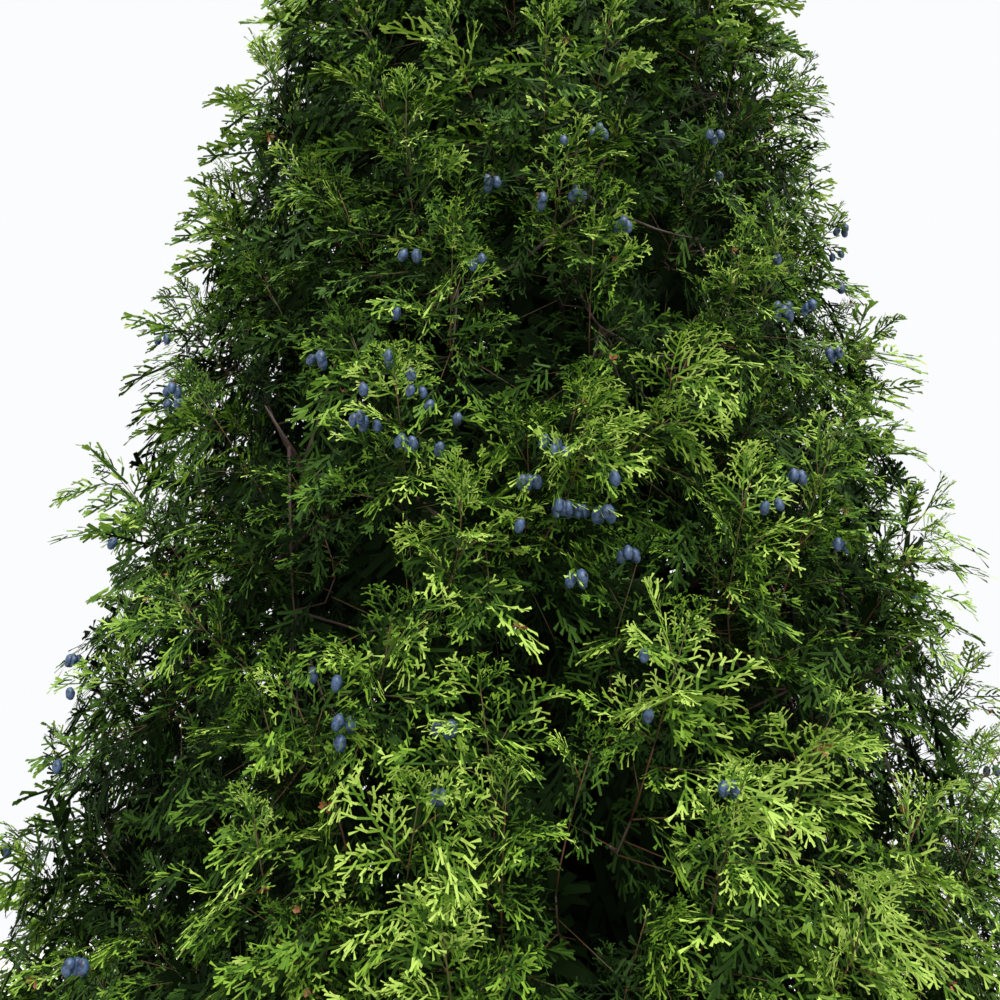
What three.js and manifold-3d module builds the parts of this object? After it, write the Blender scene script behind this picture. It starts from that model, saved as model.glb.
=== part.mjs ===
import * as THREE from "three";
import { mergeVertices } from "three/addons/utils/BufferGeometryUtils.js";
import Module from "manifold-3d";

// A broad, cone-shaped cedar: one straight trunk, ascending boughs set round it in a spiral, and a mass of
// foliage on the end of each bough. All sizes are in millimetres, +Z is up, and the trunk stands on z = 0.

const wasm = await Module();
wasm.setup();

// Crown
const treeHeight = 6400;
const crownRadius = 1170;
const widestHeight = 800;
const crownFloor = 300;
const crownTaper = 0.6;
const lowerRounding = 0.3;
const crownOffset = -65;
const crownOvershoot = 60;

// Trunk
const trunkTipHeight = 6020;
const trunkRadius = 60;
const trunkTipRadius = 6;
const flareRadius = 26;
const flareHeight = 130;
const rootRidges = 5;
const rootRidgeShare = 0.16;
const trunkWander = 12;
const trunkWanderLength = 1500;
const trunkSides = 10;
const trunkRings = 10;
const trunkRingCrowding = 1.7;

// Boughs, set up the trunk in a spiral, with the masses on their ends
const massCount = 28;
const boughSeed = 1000;
const boughSeedStep = 77;
const firstMassHeight = 720;
const massSpacing = 140;
const massSpacingGrowth = 1.67;
const firstBearing = -1.15;
const bearingJitter = 0.12;
const goldenAngle = Math.PI * (3 - Math.sqrt(5));
const massReach = [0.95, 1.05];
const massCentreShare = 0.7;
const boughEndShare = 0.46;
const boughEndDrop = 0.16;
const boughSlope = 0.72;
const boughBendOut = 0.45;
const boughBendUp = 0.6;
const boughThickness = 0.3;
const boughMinRadius = 4;
const boughTaper = 0.6;
const boughSides = 5;
const boughRings = 2;
const jointGap = 0.3;

// The stem and the dense core of a mass
const stemEndShare = 0.84;
const stemRise = [0.02, 0.12];
const stemTaper = 0.45;
const stemRings = 2;
const coreMiddleShare = 0.69;
const coreDepthShare = 0.21;
const coreWidthShare = 0.46;
const coreSpaceShare = 0.94;
const coreRoughness = [0.55, 1];

// Twigs
const twigsPerMass = 5;
const twigStart = [0.4, 0.85];
const twigTurnJitter = 0.2;
const twigSpread = [0.26, 0.4];
const twigReach = [0.94, 1.02];
const twigBend = 0.55;
const twigSag = 0.16;
const twigSides = 3;
const twigRings = 1;
const twigRadius = 8;
const twigTipRadius = 5;

// The toothed blades that stand for sprays, three to a twig, and the cones
const bladeShare = 0.34;
const bladeThickness = 0.03;
const bladeRootDepth = 13;
const bladeDroop = 0.2;
const bladeSizes = [1, 0.85, 0.7];
const bladeSizeSpread = [0.9, 1.1];
const bladeRootShares = [0.97, 0.84, 0.7];
const bladeTilts = [0.5, 0.65, 0.65];
const hangingAngles = [-0.9, -2.24];
const bladeAngleJitter = 0.25;
const bladeTiltJitter = 0.12;
const spaceMargin = 1.5;
const limbMargin = 2;
const coneRadius = 17;
const coneLength = 1.3;
const coneRootShare = 0.88;

// The top mass grows on from the tip of the trunk
const topSeed = 9000;
const topMassHeight = 6080;
const topTwigs = 6;
const topStemRadius = 6;
const topStemTaper = 0.3;
const topStemEnd = 6320;
const topBladeLength = 230;
const topTurn = Math.PI / 2;

const up = new THREE.Vector3(0, 0, 1);

// The same seed always gives the same numbers, each from 0 to 1
function seededNumbers(seed) {
  let state = seed;
  return () => {
    state = (state * 1664525 + 1013904223) % 4294967296;
    return state / 4294967296;
  };
}

function between(next, low, high) {
  return low + (high - low) * next();
}

// Distance from the crown's middle to its surface at a height
function crownRadiusAt(height) {
  if (height < widestHeight) {
    const drop = (widestHeight - height) / (widestHeight - crownFloor);
    return crownRadius * (1 - lowerRounding * drop * drop);
  }
  const rise = (height - widestHeight) / (treeHeight - widestHeight);
  return crownRadius * Math.max(1 - rise, 0) ** crownTaper;
}

// Distance from the trunk to the crown's surface: the crown reaches further on one side
function reachAt(height, bearing) {
  const offset = crownOffset * (1 - height / treeHeight);
  return crownRadiusAt(height) + offset * Math.cos(bearing);
}

function trunkCentre(height) {
  const turn = height / trunkWanderLength;
  const x = trunkWander * Math.sin(turn);
  const y = trunkWander * (Math.cos(turn) - 1);
  return new THREE.Vector3(x, y, height);
}

function trunkRadiusAt(height) {
  const taper = 1 - height / trunkTipHeight;
  const shaft = trunkTipRadius + (trunkRadius - trunkTipRadius) * taper;
  return shaft + flareRadius * Math.exp(-height / flareHeight);
}

// A point at a bearing and distance from the trunk's centre
function besideTrunk(bearing, distance, height) {
  const point = trunkCentre(height);
  point.x += distance * Math.cos(bearing);
  point.y += distance * Math.sin(bearing);
  return point;
}

function withSharedVertices(geometry) {
  geometry.deleteAttribute("normal");
  geometry.deleteAttribute("uv");
  return mergeVertices(geometry, 1e-4);
}

// A closed geometry as a solid that can be joined and cut
function toSolid(geometry) {
  const merged = withSharedVertices(geometry);
  const vertProperties = new Float32Array(merged.attributes.position.array);
  const triVerts = new Uint32Array(merged.index.array);
  return new wasm.Manifold(new wasm.Mesh({ numProp: 3, vertProperties, triVerts }));
}

// The largest body of a solid: loose scraps and sealed hollows are left out
function largestBody(solid) {
  const bodies = solid.decompose();
  bodies.sort((first, second) => second.volume() - first.volume());
  return bodies[0];
}

// Moves every vertex of a geometry to where the function puts it
function reshape(geometry, placeVertex) {
  const place = geometry.attributes.position;
  const vertex = new THREE.Vector3();
  for (let i = 0; i < place.count; i += 1) {
    vertex.fromBufferAttribute(place, i);
    const moved = placeVertex(vertex);
    place.setXYZ(i, moved.x, moved.y, moved.z);
  }
  return geometry;
}

// The trunk, or the slightly thicker trunk that boughs and foliage are kept clear of
function trunkSolid(extra) {
  const geometry = new THREE.CylinderGeometry(1, 1, 1, trunkSides, trunkRings);
  reshape(geometry, (vertex) => {
    const height = trunkTipHeight * (vertex.y + 0.5) ** trunkRingCrowding;
    const ridge = rootRidgeShare * Math.exp(-height / flareHeight);
    const lobes = 1 + ridge * Math.cos(rootRidges * Math.atan2(vertex.x, vertex.z));
    const radius = trunkRadiusAt(height) * lobes + extra;
    const centre = trunkCentre(height);
    return new THREE.Vector3(centre.x + radius * vertex.x, centre.y - radius * vertex.z, height);
  });
  return toSolid(geometry);
}

// A round limb along a curve, with flat ends square to it
function limbSolid(curve, radiusAt, sides, rings) {
  const geometry = new THREE.CylinderGeometry(1, 1, 1, sides, rings);
  reshape(geometry, (vertex) => {
    const along = vertex.y + 0.5;
    const direction = curve.getTangent(along);
    const across = new THREE.Vector3().crossVectors(up, direction);
    if (across.length() < 1e-3) {
      across.set(1, 0, 0);
    }
    across.normalize();
    const over = new THREE.Vector3().crossVectors(across, direction);
    const radius = radiusAt(along);
    const point = curve.getPoint(along);
    point.addScaledVector(across, radius * vertex.x);
    return point.addScaledVector(over, radius * vertex.z);
  });
  return toSolid(geometry);
}

// Where each bough starts and ends and where its mass lies
function planBough(number) {
  const next = seededNumbers(boughSeed + boughSeedStep * number);
  const height = firstMassHeight + massSpacing * number + massSpacingGrowth * number * number;
  const bearing = firstBearing + goldenAngle * number + between(next, -bearingJitter, bearingJitter);
  const reach = reachAt(height, bearing) * between(next, ...massReach);
  const spacing = massSpacing + 2 * massSpacingGrowth * number;
  const width = Math.sqrt(2 * Math.PI * reach * spacing);
  const span = boughEndShare * reach;
  const end = besideTrunk(bearing, span, height - boughEndDrop * width);
  const startHeight = end.z - boughSlope * span;
  const bend = besideTrunk(bearing, boughBendOut * span, startHeight + boughBendUp * boughSlope * span);
  const curve = new THREE.QuadraticBezierCurve3(trunkCentre(startHeight), bend, end);
  const baseRadius = boughMinRadius + boughThickness * trunkRadiusAt(startHeight + flareHeight);
  const endRadius = boughTaper * baseRadius;
  const centre = besideTrunk(bearing, massCentreShare * reach, height);
  return { next, height, bearing, reach, width, curve, baseRadius, endRadius, centre };
}

function boughSolid(plan, trunkAndGap, extra) {
  const radiusAt = (along) => plan.baseRadius + (plan.endRadius - plan.baseRadius) * along + extra;
  return limbSolid(plan.curve, radiusAt, boughSides, boughRings).subtract(trunkAndGap);
}

// The stem that carries a mass on from the end of its bough
function stemCurve(plan) {
  const direction = plan.curve.getTangent(1);
  const start = plan.curve.getPoint(1).addScaledVector(direction, jointGap);
  const rise = between(plan.next, ...stemRise) * plan.width;
  const end = besideTrunk(plan.bearing, stemEndShare * plan.reach, plan.height + rise);
  const bend = start.clone().addScaledVector(direction, 0.5 * start.distanceTo(end));
  return new THREE.QuadraticBezierCurve3(start, bend, end);
}

// The planes half way to each other mass, which bound the space that a mass keeps to
function ownSpace(centre, otherCentres) {
  return otherCentres.map((other) => {
    const normal = new THREE.Vector3().subVectors(other, centre).normalize();
    const middle = new THREE.Vector3().addVectors(other, centre).multiplyScalar(0.5);
    return new THREE.Plane(normal, spaceMargin - normal.dot(middle));
  });
}

function staysInside(points, space) {
  return points.every((point) => {
    const { x, y, z } = point;
    const limit = reachAt(z, Math.atan2(y, x)) + crownOvershoot;
    const inCrown = Math.hypot(x, y) < limit && z > crownFloor && z < treeHeight;
    return inCrown && space.every((plane) => plane.distanceToPoint(point) < 0);
  });
}

function solidPoints(solid) {
  const { vertProperties } = solid.getMesh();
  const points = [];
  for (let i = 0; i < vertProperties.length; i += 3) {
    points.push(new THREE.Vector3().fromArray(vertProperties, i));
  }
  return points;
}

// A piece grows only where it stays in the mass's space and touches none of the solids to keep clear of
function hasRoom(piece, space, obstacles) {
  const isClear = obstacles.every((obstacle) => piece.intersect(obstacle).isEmpty());
  return isClear && staysInside(solidPoints(piece), space);
}

// The corners of a blade: its tip, two notches, two side teeth and its root, along and across its length
const bladeOutline = [[1, 0], [0.7, 0.17], [0.68, 0.42], [0, 0], [0.68, -0.42], [0.7, -0.17]];
const bladeMiddle = 0.45;

// A flat toothed blade that is thickest in its middle and hangs towards its tip
function bladeSolid(root, direction, face, length) {
  const across = new THREE.Vector3().crossVectors(face, direction);
  const geometry = new THREE.SphereGeometry(1, bladeOutline.length, 2);
  const outlineAngle = 2 * Math.PI / bladeOutline.length;
  reshape(geometry, (vertex) => {
    const corner = Math.round(Math.atan2(vertex.z, -vertex.x) / outlineAngle) + bladeOutline.length;
    const onOutline = Math.abs(vertex.y) < 0.5;
    const [along, aside] = onOutline ? bladeOutline[corner % bladeOutline.length] : [bladeMiddle, 0];
    const height = onOutline ? 0 : vertex.y * bladeThickness * length / 2;
    const point = root.clone().addScaledVector(direction, along * length - bladeRootDepth);
    point.addScaledVector(across, aside * length);
    point.addScaledVector(face, height);
    point.z -= bladeDroop * length * along * along;
    return point;
  });
  return toSolid(geometry);
}

// The twig that leads to a point under the crown's surface, with its tip turned up
function twigCurve(stem, share, tip) {
  const start = stem.getPoint(share);
  const bend = new THREE.Vector3().lerpVectors(start, tip, twigBend);
  bend.z -= twigSag * start.distanceTo(tip);
  return new THREE.QuadraticBezierCurve3(start, bend, tip);
}

// Three blades to a twig: one carries on its line at the end, and two hang from it further back
function growBlades(mass, twig, length, next) {
  const { curve, bearing, turn } = twig;
  const outward = new THREE.Vector3(Math.cos(bearing), Math.sin(bearing), 0);
  const sideways = new THREE.Vector3(-Math.sin(bearing), Math.cos(bearing), 0);
  const angles = [turn, ...hangingAngles];
  angles.forEach((middleAngle, index) => {
    const angle = middleAngle + between(next, -bladeAngleJitter, bladeAngleJitter);
    const tilt = bladeTilts[index] + between(next, -bladeTiltJitter, bladeTiltJitter);
    const roll = between(next, -bladeAngleJitter, bladeAngleJitter);
    const size = length * between(next, ...bladeSizeSpread);
    const direction = sideways.clone().multiplyScalar(Math.cos(angle) * Math.cos(tilt));
    direction.addScaledVector(up, Math.sin(angle) * Math.cos(tilt));
    direction.addScaledVector(outward, Math.sin(tilt));
    const face = outward.clone().addScaledVector(direction, -outward.dot(direction)).normalize();
    face.applyAxisAngle(direction, roll);
    const root = curve.getPoint(bladeRootShares[index]);
    const otherTwigs = mass.twigs.filter((other) => other !== twig).map((other) => other.solid);
    const obstacles = [mass.limbs, ...otherTwigs, ...mass.blades];
    const blades = bladeSizes.map((share) => bladeSolid(root, direction, face, size * share));
    const blade = blades.find((option) => hasRoom(option, mass.space, obstacles));
    if (blade) {
      mass.blades.push(blade);
    }
  });
}

function growTwig(mass, share, target, bladeLength) {
  const reach = reachAt(target.height, target.bearing) * target.reachShare;
  const distance = reach - Math.sin(bladeTilts[0]) * bladeLength;
  const tip = besideTrunk(target.bearing, distance, target.height);
  const curve = twigCurve(mass.stem, share, tip);
  const radiusAt = (along) => twigRadius + (twigTipRadius - twigRadius) * along;
  const solid = limbSolid(curve, radiusAt, twigSides, twigRings);
  if (hasRoom(solid, mass.space, [mass.limbs])) {
    mass.twigs.push({ ...target, curve, solid });
  }
}

// Joins the stem, twigs, blades and cones of a mass
function joinMass(mass) {
  const pieces = [...mass.twigs.map((twig) => twig.solid), ...mass.blades, ...mass.cones];
  return largestBody(pieces.reduce((whole, piece) => whole.add(piece), mass.stemSolid));
}

// One egg-shaped cone beside a twig, near its end
function coneSolid(twig) {
  const centre = twig.curve.getPoint(coneRootShare);
  const outward = new THREE.Vector3(Math.cos(twig.bearing), Math.sin(twig.bearing), 0);
  centre.addScaledVector(outward, coneRadius - twigTipRadius / 2);
  const geometry = new THREE.IcosahedronGeometry(coneRadius, 0);
  reshape(geometry, (vertex) => new THREE.Vector3(
    centre.x + vertex.x, centre.y + vertex.y, centre.z + coneLength * vertex.z));
  return toSolid(geometry);
}

// The dense inside of a mass: a ragged lump, smaller than the mass's space and cut clear of the limbs
function coreSolid(plan, space, limbs) {
  const middle = besideTrunk(plan.bearing, coreMiddleShare * plan.reach, plan.height);
  const outward = new THREE.Vector3(Math.cos(plan.bearing), Math.sin(plan.bearing), 0);
  const sideways = new THREE.Vector3(-outward.y, outward.x, 0);
  const geometry = withSharedVertices(new THREE.IcosahedronGeometry(1, 1));
  reshape(geometry, (vertex) => {
    const roughness = between(plan.next, ...coreRoughness);
    const step = outward.clone().multiplyScalar(vertex.x * coreDepthShare * plan.reach);
    step.addScaledVector(sideways, vertex.y * coreWidthShare * plan.width);
    step.z += vertex.z * coreWidthShare * plan.width;
    const distance = step.length();
    const ray = new THREE.Ray(middle, step.normalize());
    const limits = space.map((plane) => ray.distanceToPlane(plane) ?? Infinity);
    const limit = coreSpaceShare * Math.min(...limits);
    return ray.at(roughness * Math.min(distance, limit), new THREE.Vector3());
  });
  return toSolid(geometry).subtract(limbs);
}

// Twigs spread from the stem to all sides of the mass, each with its blades, and one cone
function massSolid(plan, otherCentres, limbs) {
  const stem = stemCurve(plan);
  const stemRadiusAt = (along) => plan.endRadius * (1 - stemTaper * along);
  const space = ownSpace(plan.centre, otherCentres);
  const core = coreSolid(plan, space, limbs);
  const stemSolid = limbSolid(stem, stemRadiusAt, boughSides, stemRings).add(core);
  const mass = { stem, stemSolid, space, limbs, twigs: [], blades: [], cones: [] };
  const startTurn = between(plan.next, 0, 2 * Math.PI);
  const bladeLength = bladeShare * plan.width;
  for (let i = 0; i < twigsPerMass; i += 1) {
    const jitter = between(plan.next, -twigTurnJitter, twigTurnJitter);
    const turn = startTurn + 2 * Math.PI * i / twigsPerMass + jitter;
    const spread = between(plan.next, ...twigSpread) * plan.width;
    const height = plan.height + spread * Math.sin(turn);
    const bearing = plan.bearing + spread * Math.cos(turn) / plan.reach;
    const reachShare = between(plan.next, ...twigReach);
    const startShare = between(plan.next, ...twigStart);
    growTwig(mass, startShare, { height, bearing, turn, reachShare }, bladeLength);
  }
  mass.twigs.forEach((twig) => growBlades(mass, twig, bladeLength, plan.next));
  mass.cones.push(...mass.twigs.slice(0, 1).map(coneSolid));
  return joinMass(mass);
}

// The top mass: a leader on the tip of the trunk with short twigs round it
function topMassSolid(centre, otherCentres, limbs) {
  const next = seededNumbers(topSeed);
  const start = trunkCentre(trunkTipHeight + jointGap);
  const end = trunkCentre(topStemEnd);
  const stem = new THREE.LineCurve3(start, end);
  const stemRadiusAt = (along) => topStemRadius * (1 - topStemTaper * along);
  const stemSolid = limbSolid(stem, stemRadiusAt, boughSides, 1);
  const space = ownSpace(centre, otherCentres);
  const mass = { stem, stemSolid, space, limbs, twigs: [], blades: [], cones: [] };
  for (let i = 0; i < topTwigs; i += 1) {
    const share = (i + 1) / (topTwigs + 1);
    const height = THREE.MathUtils.lerp(start.z, end.z, share);
    const bearing = goldenAngle * i;
    const reachShare = between(next, ...twigReach);
    growTwig(mass, share * share, { height, bearing, turn: topTurn, reachShare }, topBladeLength);
  }
  mass.twigs.forEach((twig) => growBlades(mass, twig, topBladeLength, next));
  return joinMass(mass);
}

function toMesh(solid, name, material) {
  const { vertProperties, triVerts, numProp } = solid.getMesh();
  const positions = new Float32Array(3 * vertProperties.length / numProp);
  positions.set(vertProperties);
  const geometry = new THREE.BufferGeometry();
  geometry.setAttribute("position", new THREE.BufferAttribute(positions, 3));
  geometry.setIndex(new THREE.BufferAttribute(new Uint32Array(triVerts), 1));
  geometry.computeVertexNormals();
  const mesh = new THREE.Mesh(geometry, material);
  mesh.name = name;
  return mesh;
}

function barkMaterial() {
  return new THREE.MeshStandardMaterial({ color: 0x6b4030, roughness: 0.9, metalness: 0 });
}

function foliageMaterial() {
  return new THREE.MeshStandardMaterial({ color: 0x47602c, roughness: 0.75, metalness: 0 });
}

function buildTree() {
  const tree = new THREE.Group();
  tree.add(toMesh(trunkSolid(0), "trunk", barkMaterial()));
  const plans = Array.from({ length: massCount }, (unused, number) => planBough(number));
  const trunkAndGap = trunkSolid(jointGap);
  const nearTrunk = trunkSolid(limbMargin);
  let limbs = nearTrunk;
  plans.forEach((plan) => {
    limbs = limbs.add(boughSolid(plan, nearTrunk, limbMargin));
  });
  const topCentre = trunkCentre(topMassHeight);
  const centres = [...plans.map((plan) => plan.centre), topCentre];
  plans.forEach((plan, number) => {
    const label = String(number + 1).padStart(2, "0");
    const otherCentres = centres.filter((centre) => centre !== plan.centre);
    const bough = boughSolid(plan, trunkAndGap, 0);
    const mass = massSolid(plan, otherCentres, limbs);
    tree.add(toMesh(bough, `bough-${label}`, barkMaterial()));
    tree.add(toMesh(mass, `foliage-${label}`, foliageMaterial()));
  });
  const lowerCentres = centres.filter((centre) => centre !== topCentre);
  const topMass = topMassSolid(topCentre, lowerCentres, limbs);
  tree.add(toMesh(topMass, "foliage-top", foliageMaterial()));
  return tree;
}

export default buildTree();
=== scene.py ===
from math import atan2, copysign, cos, exp, hypot, pi, radians, sin, sqrt

import bpy
import numpy as np
from numpy.linalg import norm
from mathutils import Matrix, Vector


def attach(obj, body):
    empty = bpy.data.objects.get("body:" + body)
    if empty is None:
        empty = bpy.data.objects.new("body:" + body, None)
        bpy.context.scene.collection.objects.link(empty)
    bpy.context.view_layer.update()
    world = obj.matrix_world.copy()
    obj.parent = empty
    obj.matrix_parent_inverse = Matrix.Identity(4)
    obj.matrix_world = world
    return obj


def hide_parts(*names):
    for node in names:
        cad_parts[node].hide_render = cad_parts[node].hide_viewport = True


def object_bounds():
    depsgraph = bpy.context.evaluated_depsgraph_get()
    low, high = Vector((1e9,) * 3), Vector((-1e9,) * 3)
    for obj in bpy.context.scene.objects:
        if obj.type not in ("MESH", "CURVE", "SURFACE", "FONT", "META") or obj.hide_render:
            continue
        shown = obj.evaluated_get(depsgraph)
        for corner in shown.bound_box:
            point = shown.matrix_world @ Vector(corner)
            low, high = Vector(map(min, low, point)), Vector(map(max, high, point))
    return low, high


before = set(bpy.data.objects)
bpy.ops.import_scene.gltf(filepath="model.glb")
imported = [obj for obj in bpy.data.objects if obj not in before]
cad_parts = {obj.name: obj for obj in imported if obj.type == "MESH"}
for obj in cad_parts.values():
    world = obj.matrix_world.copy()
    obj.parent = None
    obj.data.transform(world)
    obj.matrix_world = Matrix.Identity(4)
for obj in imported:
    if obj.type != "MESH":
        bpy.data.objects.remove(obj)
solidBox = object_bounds()
boxSlack = 0.055

# Everything is in metres. The crown, trunk and boughs follow the same sizes and seeded rule as the solids.
crown = {
    "height": 6.4,
    "radius": 1.17,
    "widestHeight": 0.8,
    "floor": 0.3,
    "taper": 0.6,
    "lowerRounding": 0.3,
    "offset": -0.065,
    "overshoot": 0.045,
}
trunk = {
    "tipHeight": 6.02,
    "radius": 0.06,
    "tipRadius": 0.006,
    "flareRadius": 0.026,
    "flareHeight": 0.13,
    "rootRidges": 5,
    "rootRidgeShare": 0.16,
    "wander": 0.012,
    "wanderLength": 1.5,
    "ringCrowding": 1.7,
    "sides": 84,
    "rings": 220,
    "stripDepth": 0.0042,
    "stripsAround": 17,
    "stripSeed": 71,
}
bough = {
    "count": 28,
    "seed": 1000,
    "seedStep": 77,
    "firstHeight": 0.72,
    "spacing": 0.14,
    "spacingGrowth": 0.00167,
    "firstBearing": -1.15,
    "bearingJitter": 0.12,
    "reach": (0.95, 1.05),
    "centreShare": 0.7,
    "endShare": 0.46,
    "endDrop": 0.16,
    "slope": 0.72,
    "bendOut": 0.45,
    "bendUp": 0.6,
    "thickness": 0.3,
    "minRadius": 0.004,
    "taper": 0.6,
    "sides": 16,
    "rings": 18,
    "stripDepth": 0.0012,
    "stripsAround": 7,
    "stripSeed": 300,
    "collar": 0.5,
    "collarShare": 0.12,
}
stripLevel = 0.75  # how much of a strip of bark lies under the line of the smooth wood
stripWaves = ((1, 2.1, 0.5), (2, 5.3, 0.35), (3, 11, 0.22), (5, 23, 0.12))  # turns, pace and share
stem = {"endShare": 0.84, "rise": (0.02, 0.12), "taper": 0.45, "coreNumbers": 42}
limbTwig = {
    "count": 5,
    "start": (0.4, 0.85),
    "turnJitter": 0.2,
    "spread": (0.26, 0.4),
    "reach": (0.94, 1.02),
    "bend": 0.55,
    "sag": 0.16,
    "bladeShare": 0.34,
    "bladeTilt": 0.5,
    "radius": 0.0075,
    "tipRadius": 0.0015,
}
goldenAngle = pi * (3 - sqrt(5))
up = np.array([0.0, 0.0, 1.0])


def seededNumbers(seed):
    state = seed
    while True:
        state = (state * 1664525 + 1013904223) % 4294967296
        yield state / 4294967296


def partWay(share, first, last):
    return first + (last - first) * share


def between(numbers, low, high):
    return partWay(next(numbers), low, high)


def swing(numbers, most):  # to either side of nought
    return between(numbers, -most, most)


def unit(vector):
    return vector / max(norm(vector), 1e-9)


def squared(face, heading):  # turns a face square to a heading
    return unit(face - (face @ heading) * heading)


def angled(angle, first, second):  # a way at an angle from the first towards the second
    return cos(angle) * first + sin(angle) * second


def anyWay(numbers):
    return np.array([swing(numbers, 1) for _ in range(3)])


def anyTurn(numbers):
    return between(numbers, 0, 2 * pi)


def outwardAt(bearing):
    return np.array([cos(bearing), sin(bearing), 0.0])


def crownRadiusAt(height):
    if height < crown["widestHeight"]:
        drop = (crown["widestHeight"] - height) / (crown["widestHeight"] - crown["floor"])
        return crown["radius"] * (1 - crown["lowerRounding"] * drop * drop)
    rise = (height - crown["widestHeight"]) / (crown["height"] - crown["widestHeight"])
    return crown["radius"] * max(1 - rise, 0) ** crown["taper"]


def reachAt(height, bearing):
    offset = crown["offset"] * (1 - height / crown["height"])
    return crownRadiusAt(height) + offset * cos(bearing)


def trunkCentre(height):
    turn = height / trunk["wanderLength"]
    return np.array([trunk["wander"] * sin(turn), trunk["wander"] * (cos(turn) - 1), height])


def trunkRadiusAt(height):
    shaft = partWay(1 - height / trunk["tipHeight"], trunk["tipRadius"], trunk["radius"])
    return shaft + trunk["flareRadius"] * exp(-height / trunk["flareHeight"])


def besideTrunk(bearing, distance, height):
    return trunkCentre(height) + distance * outwardAt(bearing)


def depthInCrown(point):  # how far a point lies under the crown's surface, negative outside it
    bearing = atan2(point[1], point[0])
    return reachAt(min(point[2], crown["height"]), bearing) - hypot(point[0], point[1])


def bezierPoint(curve, share):
    start, bend, end = curve
    return (1 - share) ** 2 * start + 2 * share * (1 - share) * bend + share ** 2 * end


def bezierDirection(curve, share):
    start, bend, end = curve
    return unit((1 - share) * (bend - start) + share * (end - bend))


def planBough(number):
    numbers = seededNumbers(bough["seed"] + bough["seedStep"] * number)
    height = bough["firstHeight"] + bough["spacing"] * number + bough["spacingGrowth"] * number ** 2
    bearing = bough["firstBearing"] + goldenAngle * number + swing(numbers, bough["bearingJitter"])
    reach = reachAt(height, bearing) * between(numbers, *bough["reach"])
    spacing = bough["spacing"] + 2 * bough["spacingGrowth"] * number
    width = sqrt(2 * pi * reach * spacing)
    span = bough["endShare"] * reach
    end = besideTrunk(bearing, span, height - bough["endDrop"] * width)
    startHeight = end[2] - bough["slope"] * span
    bendHeight = startHeight + bough["bendUp"] * bough["slope"] * span
    bend = besideTrunk(bearing, bough["bendOut"] * span, bendHeight)
    baseRadius = bough["minRadius"] + bough["thickness"] * trunkRadiusAt(startHeight + trunk["flareHeight"])
    return {
        "label": f"{number + 1:02d}",
        "numbers": numbers,
        "height": height,
        "bearing": bearing,
        "reach": reach,
        "width": width,
        "curve": (trunkCentre(startHeight), bend, end),
        "baseRadius": baseRadius,
        "endRadius": bough["taper"] * baseRadius,
        "centre": besideTrunk(bearing, bough["centreShare"] * reach, height),
    }


def growStem(plan):  # carries a mass on from the end of its bough
    direction = bezierDirection(plan["curve"], 1)
    start = plan["curve"][2]
    rise = between(plan["numbers"], *stem["rise"]) * plan["width"]
    end = besideTrunk(plan["bearing"], stem["endShare"] * plan["reach"], plan["height"] + rise)
    bend = start + direction * 0.5 * norm(end - start)
    return start, bend, end


def stemRadiusAt(plan, share):
    return plan["endRadius"] * (1 - stem["taper"] * share - 0.4 * share ** 4)


def growLimbTwigs(plan):  # the five twigs of a mass, as the solids have them
    numbers = plan["numbers"]
    for _ in range(stem["coreNumbers"]):
        next(numbers)
    plan["startTurn"] = anyTurn(numbers)
    plan["twigRadii"] = []
    bladeLength = limbTwig["bladeShare"] * plan["width"]
    twigs = []
    for number in range(limbTwig["count"]):
        turn = plan["startTurn"] + 2 * pi * number / limbTwig["count"]
        turn += swing(numbers, limbTwig["turnJitter"])
        spread = between(numbers, *limbTwig["spread"]) * plan["width"]
        height = plan["height"] + spread * sin(turn)
        bearing = plan["bearing"] + spread * cos(turn) / plan["reach"]
        reach = reachAt(height, bearing) * between(numbers, *limbTwig["reach"])
        share = between(numbers, *limbTwig["start"])
        start = bezierPoint(plan["stem"], share)
        tip = besideTrunk(bearing, reach - sin(limbTwig["bladeTilt"]) * bladeLength, height)
        bend = start + (tip - start) * limbTwig["bend"]
        bend[2] -= limbTwig["sag"] * norm(tip - start)
        twigs.append((start, bend, tip))
        plan["twigRadii"].append(min(limbTwig["radius"], 0.85 * stemRadiusAt(plan, share)))
    return twigs


plans = [planBough(number) for number in range(bough["count"])]
for plan in plans:
    plan["stem"] = growStem(plan)
    plan["twigs"] = growLimbTwigs(plan)
print("limbs planned:", len(plans), "boughs")


def addObject(name, data):
    made = bpy.data.objects.new(name, data)
    bpy.context.scene.collection.objects.link(made)
    return made


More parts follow.
